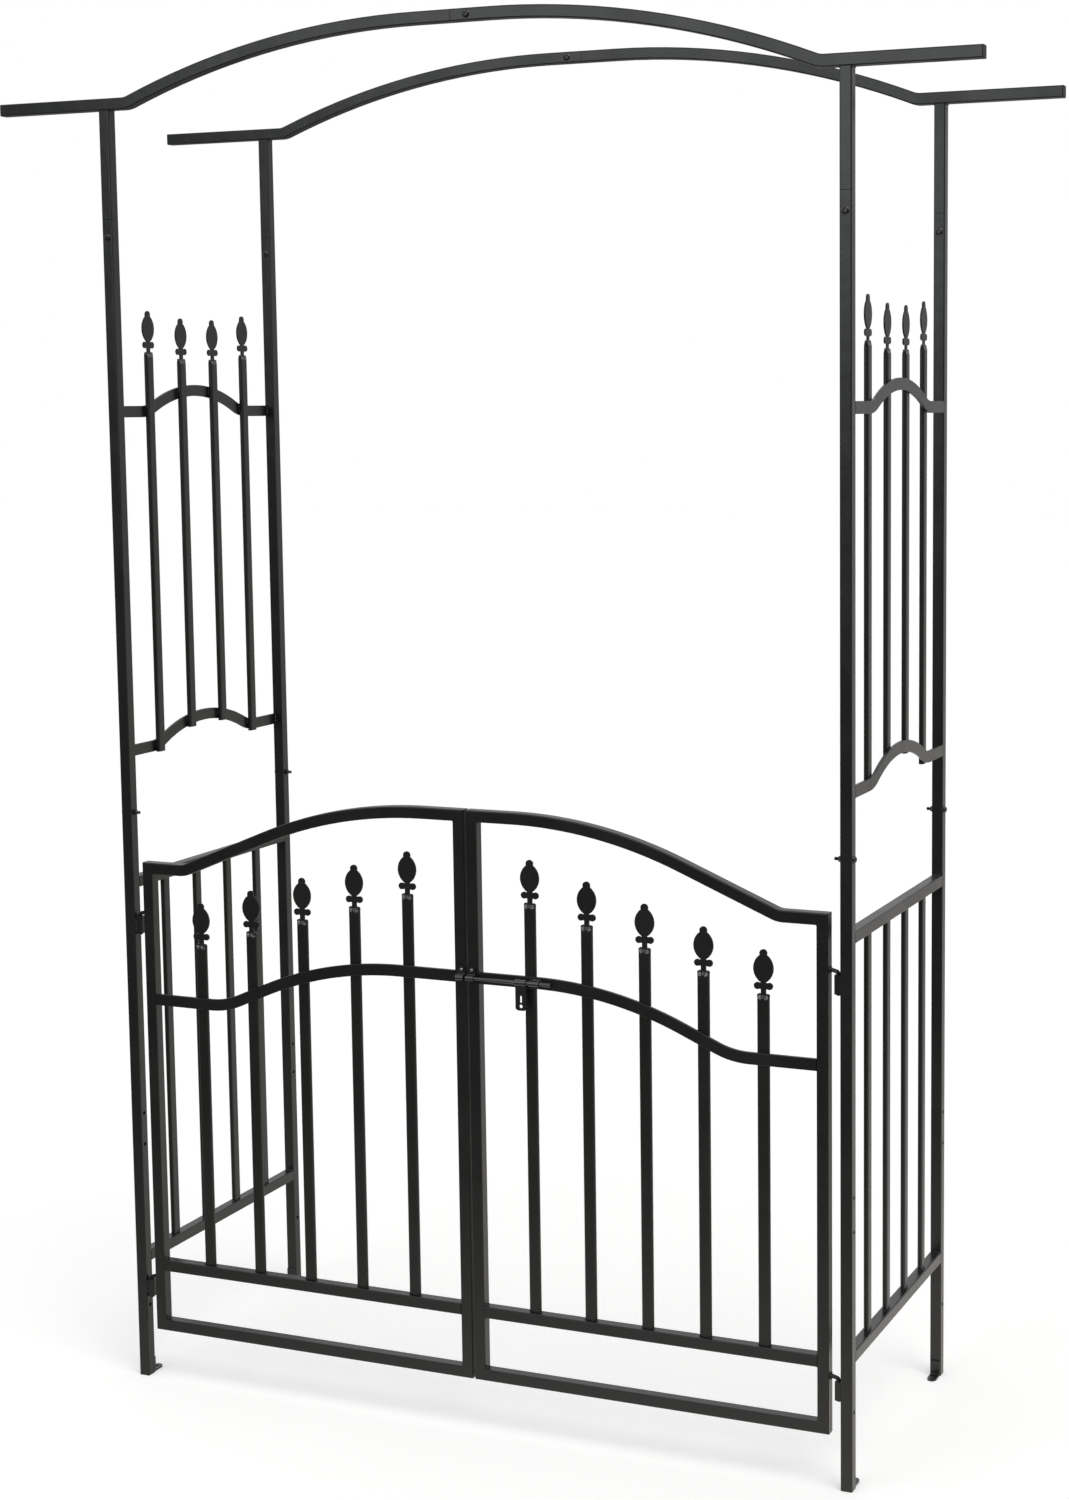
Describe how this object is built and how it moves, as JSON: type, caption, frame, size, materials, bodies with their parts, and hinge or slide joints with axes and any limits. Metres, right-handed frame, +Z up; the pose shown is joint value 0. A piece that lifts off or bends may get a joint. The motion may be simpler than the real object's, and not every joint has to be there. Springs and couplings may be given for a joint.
{
  "type": "garden arch with gate",
  "caption": "Square-tube steel garden arch with curved tops, picket side panels and a pair of hinged gates with a sliding latch.",
  "frame": {"origin": "on the ground, midway between the four foot holes", "axes": "+X across the passage to the leaf that carries the latch bolt, +Y from the gate to the back of the arch, +Z up"},
  "size_m": [1.584, 0.4785, 2.129],
  "materials": {
    "frame_coat": "satin black powder coat on steel tube",
    "gate_coat": "satin black powder coat on steel tube",
    "picket_coat": "satin black powder coat on flat-oval steel tube",
    "finial_coat": "satin black powder coat on steel plate",
    "latch_coat": "glossy black coat, rubbed where the bolt slides",
    "fastener": "black oxide steel",
    "cap_plastic": "matte black plastic"
  },
  "bodies": {
    "frame": {"lower_post_front_left": "frame_coat", "lower_post_front_right": "frame_coat", "lower_post_back_left": "frame_coat", "lower_post_back_right": "frame_coat", "upper_post_front_left": "frame_coat", "upper_post_front_right": "frame_coat", "upper_post_back_left": "frame_coat", "upper_post_back_right": "frame_coat", "arch_leg_front_left": "frame_coat", "arch_leg_front_right": "frame_coat", "arch_leg_back_left": "frame_coat", "arch_leg_back_right": "frame_coat", "arch_half_front_left": "frame_coat", "arch_half_front_right": "frame_coat", "arch_half_back_left": "frame_coat", "arch_half_back_right": "frame_coat", "side_bottom_rail_left": "frame_coat", "side_top_rail_left": "frame_coat", "side_lower_wave_left": "frame_coat", "side_upper_wave_left": "frame_coat", "side_lower_pickets_left": "picket_coat", "side_upper_pickets_left": "picket_coat", "hinge_sockets_left": "frame_coat", "side_bottom_rail_right": "frame_coat", "side_top_rail_right": "frame_coat", "side_lower_wave_right": "frame_coat", "side_upper_wave_right": "frame_coat", "side_lower_pickets_right": "picket_coat", "side_upper_pickets_right": "picket_coat", "hinge_sockets_right": "frame_coat", "side_finials": "finial_coat", "arm_caps": "cap_plastic", "joint_bolts": "fastener", "joint_nuts": "fastener", "foot_straps": "frame_coat", "arch_screws": "fastener"},
    "left_leaf": {"gate_hinge_stile_left": "gate_coat", "gate_centre_stile_left": "gate_coat", "gate_top_rail_left": "gate_coat", "gate_wave_rail_left": "gate_coat", "gate_lower_rail_left": "gate_coat", "gate_bottom_rail_left": "gate_coat", "gate_pickets_left": "picket_coat", "gate_finials_left": "finial_coat", "gate_hinge_hooks_left": "gate_coat", "latch_keeper": "latch_coat", "latch_keeper_screw": "fastener"},
    "right_leaf": {"gate_hinge_stile_right": "gate_coat", "gate_centre_stile_right": "gate_coat", "gate_top_rail_right": "gate_coat", "gate_wave_rail_right": "gate_coat", "gate_lower_rail_right": "gate_coat", "gate_bottom_rail_right": "gate_coat", "gate_pickets_right": "picket_coat", "gate_finials_right": "finial_coat", "gate_hinge_hooks_right": "gate_coat", "latch_guides": "latch_coat", "latch_guide_screw": "fastener"},
    "latch_bolt": {"latch_bolt": "latch_coat", "latch_tab": "latch_coat"}
  },
  "joints": [
    {"name": "left_leaf_hinge", "type": "hinge", "parent": "frame", "child": "left_leaf", "pos_m": [-0.586, -0.225, 0], "axis": [0, 0, 1], "range_deg": [-100, 70]},
    {"name": "right_leaf_hinge", "type": "hinge", "parent": "frame", "child": "right_leaf", "pos_m": [0.586, -0.225, 0], "axis": [0, 0, -1], "range_deg": [-100, 70]},
    {"name": "latch_bolt_slide", "type": "slide", "parent": "right_leaf", "child": "latch_bolt", "axis": [-1, 0, 0], "range_m": [0, 0.064]}
  ]
}
